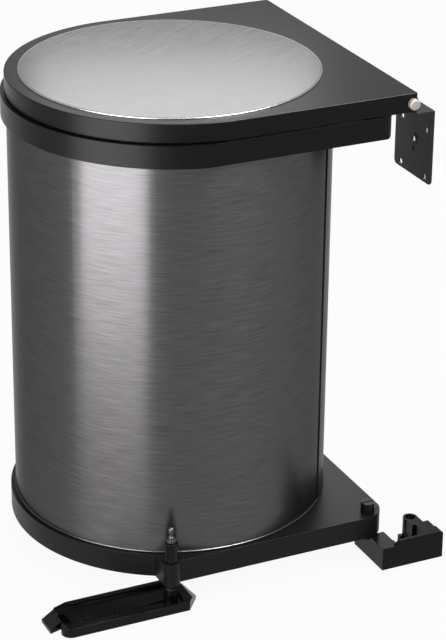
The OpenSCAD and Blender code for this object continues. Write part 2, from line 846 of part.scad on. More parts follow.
// The lid's sheet: a flat top with a skirt on three sides, open towards the wall
module lid_pan(end_x) {
    at_bin() translate([0, 0, lid_low]) difference() {
        linear_extrude(lid_h) lid_plan(0);
        translate([0, 0, -over]) linear_extrude(lid_h - lid_t + over) lid_plan(lid_t);
        translate([end_x - lid_t - over, -lid_half + lid_t, -over])
            cube([lid_t + 2 * over, 2 * (lid_half - lid_t), lid_h - lid_t + over]);
        for (i = [0 : stud_n - 1]) rotate([0, 0, i * 360 / stud_n])
            translate([stud_ring_r, 0, 0])
                cylinder(h = lid_h + over, r = stud_r + run_gap, $fn = round_fn);
    }
}

// Stainless disc with a turned-down edge and one pressed line inside it
module lid_disc() {
    color(steel_c) at_bin() translate([0, 0, lid_top]) difference() {
        cylinder(h = disc_rise, r = disc_r, $fn = big_fn);
        translate([0, 0, -over]) cylinder(h = disc_rise - disc_t + over, r = disc_r - disc_t, $fn = big_fn);
        translate([0, 0, disc_rise - disc_line_t]) difference() {
            cylinder(h = over, r = disc_r - disc_line_in, $fn = big_fn);
            translate([0, 0, -over])
                cylinder(h = 3 * over, r = disc_r - disc_line_in - disc_line_w, $fn = big_fn);
        }
    }
}

// Studs welded under the disc go through the lid
module disc_studs() {
    color(steel_c) at_bin() for (i = [0 : stud_n - 1]) rotate([0, 0, i * 360 / stud_n])
        translate([stud_ring_r, 0, lid_top + disc_rise - disc_t - stud_l])
            cylinder(h = stud_l, r = stud_r, $fn = round_fn);
}

module disc_nuts() {
    color(steel_c) at_bin() for (i = [0 : stud_n - 1]) rotate([0, 0, i * 360 / stud_n])
        translate([stud_ring_r, 0, lid_under - nut_t]) ring(nut_r, stud_r + run_gap, nut_t);
}

// Flanged bushes in the two sides of the lid turn on the axle
module lid_bushes() {
    color(nylon_c) for (side = [-1, 1])
        translate([axle_x, bin_y + side * lid_half, axle_z]) rotate([side * -90, 0, 0]) difference() {
            union() {
                cylinder(h = bush_lip_t, r = bush_lip_r, $fn = round_fn);
                translate([0, 0, -bush_l]) cylinder(h = bush_l, r = bush_r, $fn = round_fn);
            }
            translate([0, 0, -bush_l - over])
                cylinder(h = bush_l + bush_lip_t + 2 * over, r = axle_r + run_gap, $fn = round_fn);
        }
}

// Round-ended stud under the lid that rides up the cam
module lid_follower() {
    color(nylon_c) translate([follower_x, pivot_y, 0]) {
        translate([0, 0, follower_low + follower_r])
            cylinder(h = lid_under - follower_low - follower_r, r = follower_r, $fn = round_fn);
        translate([0, 0, follower_low + follower_r]) sphere(follower_r, $fn = round_fn);
    }
}

// Tapered bucket with a folded rim and two grip holes
module inner_bucket() {
    foot_out = bucket_r - bucket_taper;
    color(bucket_c) at_bin() translate([0, 0, bucket_low]) difference() {
        rotate_extrude($fn = big_fn) polygon([
            [0, 0], [foot_out, 0], [bucket_r, bucket_h - rim_t],
            [rim_r - rim_t, bucket_h - rim_t], [rim_r - rim_t, bucket_h - rim_drop],
            [rim_r, bucket_h - rim_drop], [rim_r, bucket_h],
            [bucket_r - bucket_t, bucket_h], [foot_out - bucket_t, bucket_t], [0, bucket_t]]);
        for (side = [-1, 1]) translate([0, side * bucket_r, bucket_h - grip_drop - grip_h / 2])
            rotate([90, 0, 0]) linear_extrude(grip_cut_l, center = true) {
                square([grip_w - grip_h, grip_h], center = true);
                for (end = [-1, 1]) translate([end * (grip_w - grip_h) / 2, 0])
                    circle(grip_h / 2, $fn = round_fn);
            }
    }
}

// The driver's outline around the pin: its far end has a thin tip beside a notch
module driver_plan() {
    far = driver_past - driver_l;
    back = driver_w - driver_front;
    mid = (back - driver_front) / 2;
    polygon([[far + end_in + tip_in, -driver_front],
             [driver_past - end_cut, -driver_front],
             [driver_past, mid - end_cut / 2],
             [driver_past - rim_w, back - end_cut],
             [driver_past - end_cut - rim_w, back],
             [far + 2 * tip_l, back],
             [far + tip_l, back - rim_w],
             [far + tip_l, mid - rim_w],
             [far + end_in, -driver_front + tip_in]]);
    translate([far + end_in + tip_in, -driver_front + tip_in]) circle(tip_in, $fn = round_fn);
}

module tip_plan() {
    far = driver_past - driver_l;
    back = driver_w - driver_front;
    polygon([[far, -driver_front + notch_l],
             [far + tip_l + rim_w, -driver_front + notch_l + notch_w],
             [far + tip_l + rim_w, back - rim_w],
             [far, back - 2 * rim_w]]);
}

// Shallow channel on the door side: socket for the hub, guide groove, slot and hook recess
module door_driver() {
    far = driver_past - driver_l;
    back = driver_w - driver_front;
    cut_h = driver_h + 2 * over;
    color(plastic_c) at_rod() difference() {
        intersection() {
            linear_extrude(driver_h) union() {
                tip_plan();
                driver_plan();
            }
            translate([0, back + over, 0]) rotate([90, 0, 0])
                linear_extrude(driver_w + 2 * over) driver_side(far);
        }
        translate([0, 0, driver_floor_t]) linear_extrude(driver_h) channel_plan(far, back);
        translate([0, 0, -over]) cylinder(h = cut_h, r = foot_r - rib_r, $fn = round_fn);
        translate([0, 0, driver_floor_t]) cylinder(h = cut_h, r = foot_r + loose_gap, $fn = round_fn);
        translate([far + slot_in, slot_front - driver_front, -over]) linear_extrude(cut_h) {
            translate([slot_w / 2, -slot_w / 2]) square([slot_l - slot_w, slot_w]);
            for (x = [slot_w / 2, slot_l - slot_w / 2]) translate([x, 0]) circle(slot_w / 2, $fn = round_fn);
        }
        translate([far + hook_in, hook_front - driver_front, driver_base_t])
            cube([hook_w, hook_l, cut_h]);
        translate([-groove_l, 0, driver_floor_t - groove_t]) linear_extrude(cut_h)
            polygon([[0, 0], [groove_l, -groove_w / 2], [groove_l, groove_w / 2]]);
    }
}

// The driver seen from the door: level along its length, and thin at its two ends
module driver_side(far) {
    polygon([[far - over, 0], [driver_past + over, 0], [driver_past + over, driver_base_t],
             [driver_past, driver_base_t], [driver_past - end_slope, driver_h],
             [far + tip_l, driver_h], [far, driver_base_t], [far - over, driver_base_t]]);
}

module channel_plan(far, back) {
    polygon([[far + 2 * tip_l, -driver_front + front_rim_w],
             [driver_past - end_cut - rim_w, -driver_front + front_rim_w],
             [driver_past - end_cut, back - end_cut - rim_w],
             [driver_past - end_cut - rim_w, back - rim_w],
             [far + 2 * tip_l, back - rim_w]]);
}

wall_bracket();
hinge_lugs();
upper_pivot_pin();
lid_axle();
axle_caps();
floor_bracket();
lower_pivot_pin();
thrust_washer();
base_tray();
base_underplate();
underplate_screws();
body_shell();
seam_lap();
body_floor();
body_screws();
top_frame();
frame_rivets();
lift_cam();
upper_bush();
lower_bush();
pivot_cap();
driver_rod();
rod_sleeve();
rod_clip();
rod_circlip();
lid_shell();
lid_disc();
disc_studs();
disc_nuts();
lid_bushes();
lid_follower();
inner_bucket();
door_driver();
driver_hub();
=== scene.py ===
# %% [markdown]
# # A swing-out cabinet bin
# The bin stands on a black tray that turns on two pivots beside the cabinet's side wall. Its lid
# stays in the cabinet and is lifted by a ramp while the bin swings out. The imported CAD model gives
# every piece its shape and place, and this script gives each one its finish. A few pieces whose
# surface is finer than a CAD solid, such as the pressed disc, are worked out here with numpy.

import math

import bpy
import numpy as np
from mathutils import Matrix, Vector


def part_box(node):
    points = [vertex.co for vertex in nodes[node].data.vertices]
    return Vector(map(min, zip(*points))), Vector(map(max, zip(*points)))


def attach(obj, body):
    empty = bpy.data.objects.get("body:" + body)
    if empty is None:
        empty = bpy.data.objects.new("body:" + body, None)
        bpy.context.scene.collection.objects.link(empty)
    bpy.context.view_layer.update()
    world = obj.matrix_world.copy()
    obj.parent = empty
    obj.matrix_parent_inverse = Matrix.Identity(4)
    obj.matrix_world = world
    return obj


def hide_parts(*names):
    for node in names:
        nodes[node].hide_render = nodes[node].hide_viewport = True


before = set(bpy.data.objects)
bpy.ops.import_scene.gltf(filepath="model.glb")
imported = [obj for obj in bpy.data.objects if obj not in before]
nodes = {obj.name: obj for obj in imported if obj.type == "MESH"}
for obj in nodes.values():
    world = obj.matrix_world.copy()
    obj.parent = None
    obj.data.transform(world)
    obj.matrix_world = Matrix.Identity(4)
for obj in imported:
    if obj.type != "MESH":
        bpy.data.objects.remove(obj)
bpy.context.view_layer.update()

# %% [markdown]
# ## Measures
# Every place and main size is read from the boxes of the CAD pieces, so that the surfaces made
# here stay where the CAD says when a size changes there. Lengths are in metres, and the small
# ones are written in millimetres times mm.

# %% Read the main measures
mm = 0.001


def low_and_high(name):
    """The lowest and highest corner of a CAD piece, as arrays."""
    low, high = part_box(name)
    return np.array(low), np.array(high)


def middle_and_half(name):
    """The middle of a CAD piece's box, and half of its width, depth and height."""
    low, high = low_and_high(name)
    return (low + high) / 2, (high - low) / 2


shell_foot = low_and_high("body_shell")[0][2]
shell_middle, shell_half = middle_and_half("body_shell")
body_axis, body_radius = shell_middle[:2], shell_half[0]
print("body axis", body_axis.round(4), "radius", round(body_radius, 4))

# %% [markdown]
# ## Small helpers for node trees
# A shader is a tree of nodes whose sockets are joined by links. Most of these helpers add one node
# and give back the socket that comes out of it, so that a recipe below reads like a formula.


# %% Helpers for nodes
def feed(tree, socket, value):
    """Gives an input a link if the value is a socket, or else the plain value."""
    if isinstance(value, bpy.types.NodeSocket):
        tree.links.new(value, socket)
    else:
        socket.default_value = value


def math_node(tree, operation, first, second):
    """The result of a Math node on two sockets or plain numbers."""
    node = tree.nodes.new("ShaderNodeMath")
    node.operation = operation
    feed(tree, node.inputs[0], first)
    feed(tree, node.inputs[1], second)
    return node.outputs[0]


def noise_value(tree, vector, scale, detail, roughness=0.5):
    """The value, from 0 to 1, of a noise that reads the given coordinates."""
    noise = tree.nodes.new("ShaderNodeTexNoise")
    feed(tree, noise.inputs["Vector"], vector)
    feed(tree, noise.inputs["Scale"], scale)
    noise.inputs["Detail"].default_value = detail
    noise.inputs["Roughness"].default_value = roughness
    return noise.outputs["Fac"]


def bumped_normal(tree, height, strength, distance):
    """The normal that leans with the slope of a height, where 1 stands for distance in metres."""
    bump = tree.nodes.new("ShaderNodeBump")
    bump.inputs["Distance"].default_value = distance
    feed(tree, bump.inputs["Strength"], strength)
    feed(tree, bump.inputs["Height"], height)
    return bump.outputs["Normal"]


def mix_shaders(tree, share, first, second, output):
    """Sends a mix of two shaders to the output node: the second one has the given share."""
    mix = tree.nodes.new("ShaderNodeMixShader")
    feed(tree, mix.inputs["Fac"], share)
    feed(tree, mix.inputs[1], first)
    feed(tree, mix.inputs[2], second)
    feed(tree, output.inputs["Surface"], mix.outputs[0])


print("helpers: math, noise, bump and mix")

# %% [markdown]
# ## Grain that several finishes share
# Paint and plastic have a fine unevenness that breaks up their reflections. One node group makes
# it for all of them: a noise in Object coordinates moves the roughness a little and tilts the
# normal. A group keeps the recipe in one place, and each material gives it its own values.

# %% A node group for fine grain
number, color_kind, vector_kind = "NodeSocketFloat", "NodeSocketColor", "NodeSocketVector"


def new_group(name, inputs, outputs):
    """A shader group whose sockets come from tables of name, kind and, for inputs, default."""
    group = bpy.data.node_groups.new(name, "ShaderNodeTree")
    for label, kind, value in inputs:
        socket = group.interface.new_socket(name=label, in_out="INPUT", socket_type=kind)
        if value is not None:
            socket.default_value = value
    for label, kind in outputs:
        group.interface.new_socket(name=label, in_out="OUTPUT", socket_type=kind)
    into = group.nodes.new("NodeGroupInput")
    out = group.nodes.new("NodeGroupOutput")
    return group, into, out


def make_grain_group():
    """Noise around zero, times Amount, is added to Roughness, and its slope tilts the normal."""
    group, into, out = new_group(
        "Fine grain",
        [("Scale", number, 900.0), ("Roughness", number, 0.3), ("Amount", number, 0.1),
         ("Bump", number, 0.05)],
        [("Roughness", number), ("Normal", vector_kind)])
    place = group.nodes.new("ShaderNodeTexCoord")
    grain = noise_value(group, place.outputs["Object"], into.outputs["Scale"], detail=3.0)
    around_zero = math_node(group, "SUBTRACT", grain, 0.5)
    swing = math_node(group, "MULTIPLY", around_zero, into.outputs["Amount"])
    uneven = math_node(group, "ADD", swing, into.outputs["Roughness"])
    feed(group, out.inputs["Roughness"], uneven)
    normal = bumped_normal(group, grain, into.outputs["Bump"], distance=0.2 * mm)
    feed(group, out.inputs["Normal"], normal)
    return group


grain_group = make_grain_group()
print("group:", grain_group.name)

# %% [markdown]
# ## Brushed steel
# A brush leaves thousands of straight fine scratches in one direction. Noise that is squeezed
# thirty to eighty times across that direction looks like them. The group first turns the
# coordinates about the upright axis and then multiplies them by Stretch, so the same group serves
# the body, whose lines run level round it, and the disc, whose lines run slantwise over it. A
# second, wide noise adds the faint clouds that hand finishing leaves.


# %% A node group for brushed lines
def make_brush_group():
    """Noise squeezed by the Stretch vector varies the tone, the roughness and the normal.

    The tone is Color times one plus Tone times the noise around zero. The roughness adds Amount
    times the same noise, and Clouds times a wide noise around zero."""
    group, into, out = new_group(
        "Brushed lines",
        [("Color", color_kind, (0.3, 0.3, 0.3, 1.0)), ("Turn", number, 0.0),
         ("Stretch", vector_kind, None), ("Tone", number, 0.1), ("Roughness", number, 0.3),
         ("Amount", number, 0.1), ("Clouds", number, 0.0), ("Bump", number, 0.1)],
        [("Color", color_kind), ("Roughness", number), ("Normal", vector_kind)])
    place = group.nodes.new("ShaderNodeTexCoord")
    turn = group.nodes.new("ShaderNodeVectorRotate")
    turn.rotation_type = "Z_AXIS"
    feed(group, turn.inputs["Vector"], place.outputs["Object"])
    feed(group, turn.inputs["Angle"], into.outputs["Turn"])
    stretch = group.nodes.new("ShaderNodeVectorMath")
    stretch.operation = "MULTIPLY"
    feed(group, stretch.inputs[0], turn.outputs[0])
    feed(group, stretch.inputs[1], into.outputs["Stretch"])

    lines = noise_value(group, stretch.outputs[0], scale=1.0, detail=2.0, roughness=0.6)
    line_swing = math_node(group, "SUBTRACT", lines, 0.5)
    tone = math_node(group, "MULTIPLY", line_swing, into.outputs["Tone"])
    bright = group.nodes.new("ShaderNodeVectorMath")
    bright.operation = "SCALE"
    feed(group, bright.inputs[0], into.outputs["Color"])
    feed(group, bright.inputs["Scale"], math_node(group, "ADD", tone, 1.0))
    feed(group, out.inputs["Color"], bright.outputs[0])

    wide = noise_value(group, place.outputs["Object"], scale=70.0, detail=5.0)
    wide_swing = math_node(group, "SUBTRACT", wide, 0.5)
    cloud = math_node(group, "MULTIPLY", wide_swing, into.outputs["Clouds"])
    swing = math_node(group, "MULTIPLY", line_swing, into.outputs["Amount"])
    both = math_node(group, "ADD", swing, cloud)
    feed(group, out.inputs["Roughness"], math_node(group, "ADD", both, into.outputs["Roughness"]))
    normal = bumped_normal(group, lines, into.outputs["Bump"], distance=0.1 * mm)
    feed(group, out.inputs["Normal"], normal)
    return group


brush_group = make_brush_group()
print("group:", brush_group.name)

# %% [markdown]
# ## The finishes
# The lid and the frame are pressed sheet with a satin black enamel, and the tray's is a little
# duller. The wall bracket is dark grey, and the floor bracket and the driver are moulded. Each
# finish below is one function call with the values that tell it apart.


# %% Painted and moulded finishes
def new_material(name):
    """A material with its node tree and its Principled shader."""
    material = bpy.data.materials.new(name)
    material.use_nodes = True
    return material, material.node_tree, material.node_tree.nodes["Principled BSDF"]


def place_group(tree, shader, group, values):
    """Puts a group into a material with its own values, and links what it puts out."""
    node = tree.nodes.new("ShaderNodeGroup")
    node.node_tree = group
    for label, value in values.items():
        node.inputs[label].default_value = value
    for output in node.outputs:
        target = "Base Color" if output.name == "Color" else output.name
        feed(tree, shader.inputs[target], output)


def solid_finish(name, color, roughness, amount=0.06, bump=0.05, scale=900.0, shine=0.5,
                 metallic=0.0):
    """Paint, plastic or plain metal: one colour, with the fine grain in roughness and normal."""
    material, tree, shader = new_material(name)
    shader.inputs["Base Color"].default_value = (*color, 1.0)
    shader.inputs["Metallic"].default_value = metallic
    shader.inputs["Specular IOR Level"].default_value = shine
    place_group(tree, shader, grain_group,
                {"Scale": scale, "Roughness": roughness, "Amount": amount, "Bump": bump})
    return material


plastic_black = (0.006, 0.0055, 0.0065)
black_enamel = solid_finish("Black enamel", (0.005, 0.0045, 0.0052), roughness=0.34,
                            amount=0.03, bump=0.006, shine=0.108)
tray_enamel = solid_finish("Satin tray enamel", (0.006, 0.0055, 0.0062), roughness=0.42,
                           amount=0.03, bump=0.008, shine=0.14)
grey_enamel = solid_finish("Dark grey enamel", (0.02, 0.019, 0.0208), roughness=0.42,
                           bump=0.03, shine=0.2)
black_plastic = solid_finish("Black moulded plastic", plastic_black, roughness=0.24,
                             bump=0.02, shine=0.12)
gloss_plastic = solid_finish("Glossy black plastic", plastic_black, roughness=0.28,
                             bump=0.02, shine=0.1)
# Painted shadow: this black stands in for the shade that the lap's step throws beside the seam.
seam_shadow_black = solid_finish("Painted seam shadow", (0.002, 0.002, 0.002), roughness=0.7, shine=0.1)
white_nylon = solid_finish("Natural nylon", (0.72, 0.71, 0.67), roughness=0.45, scale=400.0)
bucket_grey = solid_finish("Grey bucket plastic", (0.085, 0.09, 0.1), roughness=0.5,
                           bump=0.1, scale=500.0)
bright_steel = solid_finish("Bright turned steel", (0.72, 0.72, 0.71), roughness=0.2,
                            scale=1500.0, metallic=1.0)
dark_rod_steel = solid_finish("Oiled rod steel", (0.06, 0.058, 0.06), roughness=0.5,
                              scale=1500.0, metallic=1.0)
cap_zinc = solid_finish("Dull zinc cap", (0.36, 0.33, 0.305), roughness=0.6, amount=0.15,
                        bump=0.25, scale=1200.0, metallic=0.6)
print("plain finishes:", len(bpy.data.materials))

# %% Brushed finishes
edge_tint = (0.5, 0.5, 0.5, 1.0)
quarter_turn = 0.25


def brushed_finish(name, color, stretch, roughness, tone=0.25, amount=0.15, bump=0.15, spread=0.0,
                   turn=0.0, clouds=0.0):
    """Bare steel whose brushed lines run where the stretch vector is smallest.

    The scratches spread a reflection across themselves, by spread from 0 to 1. On a round wall
    that is brushed level, this draws what it mirrors out into an upright band."""
    material, tree, shader = new_material(name)
    shader.inputs["Metallic"].default_value = 1.0
    shader.inputs["Specular Tint"].default_value = edge_tint
    shader.inputs["Anisotropic"].default_value = spread
    if spread:
        shader.inputs["Anisotropic Rotation"].default_value = quarter_turn
        around = tree.nodes.new("ShaderNodeTangent")
        around.direction_type = "RADIAL"
        around.axis = "Z"
        feed(tree, shader.inputs["Tangent"], around.outputs["Tangent"])
    place_group(tree, shader, brush_group,
                {"Color": (*color, 1.0), "Turn": math.radians(turn), "Stretch": stretch,
                 "Tone": tone, "Roughness": roughness, "Amount": amount, "Clouds": clouds,
                 "Bump": bump})
    return material


level_lines = (45.0, 45.0, 1500.0)
long_lines = (14.0, 1100.0, 1100.0)
no_lines = (150.0, 150.0, 150.0)
body_steel = brushed_finish("Brushed dark steel", (0.076, 0.0735, 0.076), level_lines,
                            roughness=0.3, tone=0.9, amount=0.1, bump=0.05, spread=0.74)
seam_steel = brushed_finish("Brushed seam steel", (0.085, 0.0825, 0.085), level_lines,
                            roughness=0.31, spread=0.74)
disc_steel = brushed_finish("Brushed disc steel", (0.295, 0.29, 0.295), long_lines,
                            roughness=0.25, tone=0.09, bump=0.012, turn=-35.0, clouds=0.06)
sheet_steel = brushed_finish("Plain sheet steel", (0.3, 0.3, 0.31), no_lines, roughness=0.4,
                             tone=0.1)
print("all finishes of the bin:", len(bpy.data.materials))

# %% [markdown]
# ## Dress the CAD pieces
# Sheet and moulded edges are never quite sharp: a radius of half a millimetre catches the light
# as a thin bright line. The CAD solids have sharp edges, so their modifiers round them for the eye
# and leave the solid as it is: Weld joins the loose triangles, a planar Decimate joins those that
# lie in one face, Bevel rounds the edges that are left, and Weighted Normal keeps the large faces
# flat in the light.

# %% Give every piece its finish
finish_of = {
    "wall_bracket": grey_enamel, "hinge_lugs": grey_enamel, "upper_pivot_pin": bright_steel,
    "lid_axle": bright_steel, "axle_caps": cap_zinc, "floor_bracket": gloss_plastic,
    "lower_pivot_pin": bright_steel, "thrust_washer": white_nylon, "base_tray": tray_enamel,
    "base_underplate": sheet_steel, "underplate_screws": bright_steel, "body_shell": body_steel,
    "seam_lap": seam_steel, "body_floor": sheet_steel, "body_screws": bright_steel,
    "top_frame": black_enamel, "frame_rivets": bright_steel, "lift_cam": white_nylon,
    "upper_bush": white_nylon, "lower_bush": white_nylon, "pivot_cap": black_plastic,
    "driver_rod": dark_rod_steel, "rod_sleeve": black_plastic, "rod_clip": dark_rod_steel,
    "rod_circlip": dark_rod_steel, "lid_shell": black_enamel, "lid_disc": disc_steel,
    "disc_studs": bright_steel, "disc_nuts": bright_steel, "lid_bushes": white_nylon,
    "lid_follower": white_nylon, "inner_bucket": bucket_grey, "door_driver": black_plastic,
    "driver_hub": black_plastic,
}
for name, material in finish_of.items():
    data = nodes[name].data
    data.materials.clear()
    data.materials.append(material)
print("dressed:", len(finish_of), "of", len(nodes))

# %% Round the edges for the eye
weld_reach, flat_angle, sharp_angle = 0.005 * mm, math.radians(0.5), math.radians(35)
flat_face_weight, edge_steps = 100, 3


def soften(piece, radius, clamp=True):
    """Rounds the edges of a CAD piece by a radius in metres, in its modifiers only."""
    weld = piece.modifiers.new("Weld", "WELD")
    weld.merge_threshold = weld_reach
    flat = piece.modifiers.new("Flat faces", "DECIMATE")
    flat.decimate_type = "DISSOLVE"
    flat.angle_limit = flat_angle
    bevel = piece.modifiers.new("Bevel", "BEVEL")
    bevel.width = radius
    bevel.segments = edge_steps
    bevel.limit_method = "ANGLE"
    bevel.angle_limit = sharp_angle
    bevel.use_clamp_overlap = clamp
    piece.data.shade_smooth()
    even = piece.modifiers.new("Even normals", "WEIGHTED_NORMAL")
    even.mode = "FACE_AREA"
    even.weight = flat_face_weight
    even.keep_sharp = False


edge_radius_mm = {
    "lid_shell": 0.9, "top_frame": 0.8, "base_tray": 0.9, "wall_bracket": 0.4,
    "floor_bracket": 0.7, "door_driver": 0.8, "pivot_cap": 0.4, "rod_clip": 0.2,
    "rod_sleeve": 0.3, "hinge_lugs": 0.3, "inner_bucket": 0.6,
}
for name, radius in edge_radius_mm.items():
    # The lid's short facets would clamp its edge to nothing, and it has room for the whole radius.
    soften(nodes[name], radius * mm, clamp=name != "lid_shell")
print("softened:", len(edge_radius_mm))

# %% [markdown]
# ## Turned pieces
# The disc, the end caps of the axle and the driver's rod are round about an axis, so each is one
# profile of radius and height that is carried round that axis. A profile that starts and ends on
# the axis closes itself. Computing the whole grid at once keeps the seam and the two poles exact.

# %% Carry a profile round an axis
fine_turns, small_turns = 240, 48


def grid_faces(rows, columns, rows_join=False):
    """The quads of a grid of points, row after row, whose last column joins its first one.

    With rows_join the last row joins the first one too, as on a ring."""
    steps = rows if rows_join else rows - 1
    row, column = np.meshgrid(np.arange(steps), np.arange(columns), indexing="ij")
    next_row, next_column = (row + 1) % rows, (column + 1) % columns
    corners = [row * columns + column, row * columns + next_column,
               next_row * columns + next_column, next_row * columns + column]
    return np.stack(corners, axis=-1).reshape(-1, 4)


def turned_surface(profile, turns):
    """Points and faces of a closed turned shape about the Z axis.

    A point lies at radius r and height h of the profile, turned by an angle a round the axis:
    (r cos a, r sin a, h). The first and last profile points lie on the axis, and each becomes
    one pole, which a fan of triangles closes."""
    profile = np.asarray(profile, dtype=float)
    inner = profile[1:-1]
    angle = np.linspace(0.0, 2.0 * np.pi, turns, endpoint=False)
    ring = np.stack([np.cos(angle), np.sin(angle)], axis=-1)
    level = np.repeat(inner[:, None, 1:], turns, axis=1)
    grid = np.concatenate([inner[:, None, :1] * ring, level], axis=-1).reshape(-1, 3)
    poles = np.array([[0.0, 0.0, profile[0, 1]], [0.0, 0.0, profile[-1, 1]]])
    first_pole, last_row = len(grid), len(grid) - turns
    here = np.arange(turns)
    beside = (here + 1) % turns
    first_fan = [np.full(turns, first_pole), beside, here]
    last_fan = [np.full(turns, first_pole + 1), last_row + here, last_row + beside]
    fans = [np.stack(fan, axis=-1) for fan in (first_fan, last_fan)]
    return np.concatenate([grid, poles]), [grid_faces(len(inner), turns), *fans]


def add_piece(name, points, faces, material, body):
    """A new piece with smooth faces, which rides on a body and takes its finish from a slot.

    The faces come as a list of arrays, one for each number of corners or part of the surface."""
    data = bpy.data.meshes.new(name)
    data.from_pydata(points.tolist(), [], sum((part.tolist() for part in faces), []))
    data.validate()
    data.materials.append(material)
    data.shade_smooth()
    piece = bpy.data.objects.new(name, data)
    bpy.context.collection.objects.link(piece)
    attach(piece, body)
    return piece


def round_edge(center, size, start, end, steps):
    """Profile points on an ellipse round center, from one angle in degrees to another.

    At the angle a the point is the center plus (width cos a, height sin a)."""
    angle = np.radians(np.linspace(start, end, steps))
    return np.stack([np.cos(angle), np.sin(angle)], axis=-1) * size + center


print("quads of a ring of 3 by 4 points:", len(grid_faces(3, 4, rows_join=True)))

# %% [markdown]
# ## The pressed disc
# The disc is thin stainless sheet. Its middle is a shallow crown that keeps it from drumming, a
# fine line is pressed in just inside its edge, and there the sheet rolls down onto the lid within
# half a millimetre. That roll mirrors the room as a bright line along the front edge, which a
# sharp CAD edge can't show.

# %% The disc
disc_low, disc_high = low_and_high("lid_disc")
disc_middle, disc_half = middle_and_half("lid_disc")
disc_radius = disc_half[0]
crown, roll_width = 0.12 * mm, 0.5 * mm
line_depth, line_half, line_inset = 0.1 * mm, 0.35 * mm, 0.7 * mm
rim_step, lip, lip_rise, hollow_rise = 0.2 * mm, 0.8 * mm, 0.02 * mm, 0.2 * mm
crown_steps, line_steps, roll_steps = 40, 9, 14
flat_radius = disc_radius - roll_width
line_radius = flat_radius - line_inset


def disc_height(radius):
    """The height of the disc's top at a radius.

    The crown falls with the square of the radius. The pressed line takes line_depth times one
    minus the square of the distance from the line over its half width, where that is above 0."""
    fall = crown * (radius / flat_radius) ** 2
    pressed = line_depth * np.clip(1 - ((radius - line_radius) / line_half) ** 2, 0.0, 1.0)
    return disc_high[2] - fall - pressed


top_radii = np.concatenate([
    np.linspace(0.0, line_radius - 2 * line_half, crown_steps),
    np.linspace(line_radius - line_half, line_radius + line_half, line_steps),
    [flat_radius - rim_step]])
top = np.stack([top_radii, disc_height(top_radii)], axis=-1)
roll_height = disc_high[2] - disc_low[2] - crown
roll = round_edge((flat_radius, disc_low[2]), (roll_width, roll_height), 90, 0, roll_steps)
under = np.array([[disc_radius - lip, disc_low[2] + lip_rise],
                  [disc_radius - 2 * lip, disc_low[2] + hollow_rise],
                  [0.0, disc_low[2] + hollow_rise]])
disc_points, disc_faces = turned_surface(np.concatenate([top, roll, under])[::-1], fine_turns)
disc_points[:, :2] += disc_middle[:2]
disc = add_piece("pressed_disc", disc_points, disc_faces, disc_steel, "lid")
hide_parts("lid_disc")
print("disc radius", round(disc_radius, 4), "faces", len(disc.data.polygons))

# %% [markdown]
# ## The axle's end caps and the driver's rod
# The caps are pressed zinc with a dull, slightly domed face. The rod is turned steel: a neck with
# soft shoulders below a round tip, over which the door's fitting snaps. Both are turned surfaces
# again, and the two caps are one profile that looks out to both ends of the axle.


# %% End caps
def level_out(points, side):
    """A quarter turn about X that lays an upright piece along Y, with its top to the given side.

    The point (x, y, z) becomes (x, side z, -side y), so the faces still point outwards."""
    return np.stack([points[:, 0], side * points[:, 2], -side * points[:, 1]], axis=-1)


caps_middle, caps_half = middle_and_half("axle_caps")
caps_reach, cap_radius = caps_half[1:]
cap_length, dome, cap_edge = 3.4 * mm, 0.35 * mm, 0.7 * mm
cap_wall, cap_hollow = 1.2 * mm, 0.9 * mm
face_steps, edge_turn, edge_points = 8, 75, 6
face_radii = np.linspace(cap_radius - cap_edge, 0.0, face_steps)
cap_face = np.stack([face_radii, cap_length - dome * (face_radii / cap_radius) ** 2], axis=-1)
cap_side = round_edge((cap_radius - cap_edge, cap_length - dome - cap_edge), (cap_edge, cap_edge),
                      0, edge_turn, edge_points)
cap_back = [[0.0, cap_hollow], [cap_radius - cap_wall, cap_hollow],
            [cap_radius - cap_wall, 0.0], [cap_radius, 0.0]]
cap_profile = np.concatenate([cap_back, cap_side, cap_face])
cap_points, cap_faces = turned_surface(cap_profile, small_turns)
both_points, both_faces = [], []
for count, side in enumerate((-1, 1)):
    place = caps_middle + np.array([0.0, side * (caps_reach - cap_length), 0.0])
    both_points.append(level_out(cap_points, side) + place)
    both_faces += [part + count * len(cap_points) for part in cap_faces]
caps = add_piece("domed_caps", np.concatenate(both_points), both_faces, cap_zinc, "fixings")
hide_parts("axle_caps")
print("cap radius", round(cap_radius, 4), "faces of both", len(caps.data.polygons))

# %% The rod
rod_low, rod_high = low_and_high("driver_rod")
rod_middle, rod_half = middle_and_half("driver_rod")
rod_radius = rod_half[0]
neck_radius, neck_length, head_length = 1.7 * mm, 3.0 * mm, 3.0 * mm
shoulder, chamfer = 0.5 * mm, 0.3 * mm
shoulder_radius, shoulder_turn = rod_radius - shoulder, 80
shoulder_steps, tip_steps = 6, 14
tip_center = rod_high[2] - rod_radius
neck_top = tip_center - head_length
neck_low = neck_top - neck_length
rod_profile = np.concatenate([
    [[0.0, rod_low[2]], [rod_radius - chamfer, rod_low[2]], [rod_radius, rod_low[2] + chamfer]],
    round_edge((shoulder_radius, neck_low - shoulder), (shoulder, shoulder), 0, shoulder_turn,
               shoulder_steps),
    [[neck_radius, neck_low + chamfer], [neck_radius, neck_top - chamfer]],
    round_edge((shoulder_radius, neck_top + shoulder), (shoulder, shoulder), -shoulder_turn, 0,
               shoulder_steps),
    round_edge((0.0, tip_center), (rod_radius, rod_radius), 0, 90, tip_steps)])
rod_points, rod_faces = turned_surface(rod_profile, small_turns)
rod_points[:, :2] += rod_middle[:2]
rod = add_piece("turned_rod", rod_points, rod_faces, dark_rod_steel, "bin")
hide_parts("driver_rod")
print("rod length", round(rod_high[2] - rod_low[2], 4))

# %% [markdown]
# ## The hem at the body's foot
# The sheet's lower edge is rolled outwards into a narrow hem that rests on the tray. It mirrors the
# light as one fine line between body and tray. The hem is a ring: a small oval section, carried
# round the body's axis and closed on itself both ways.

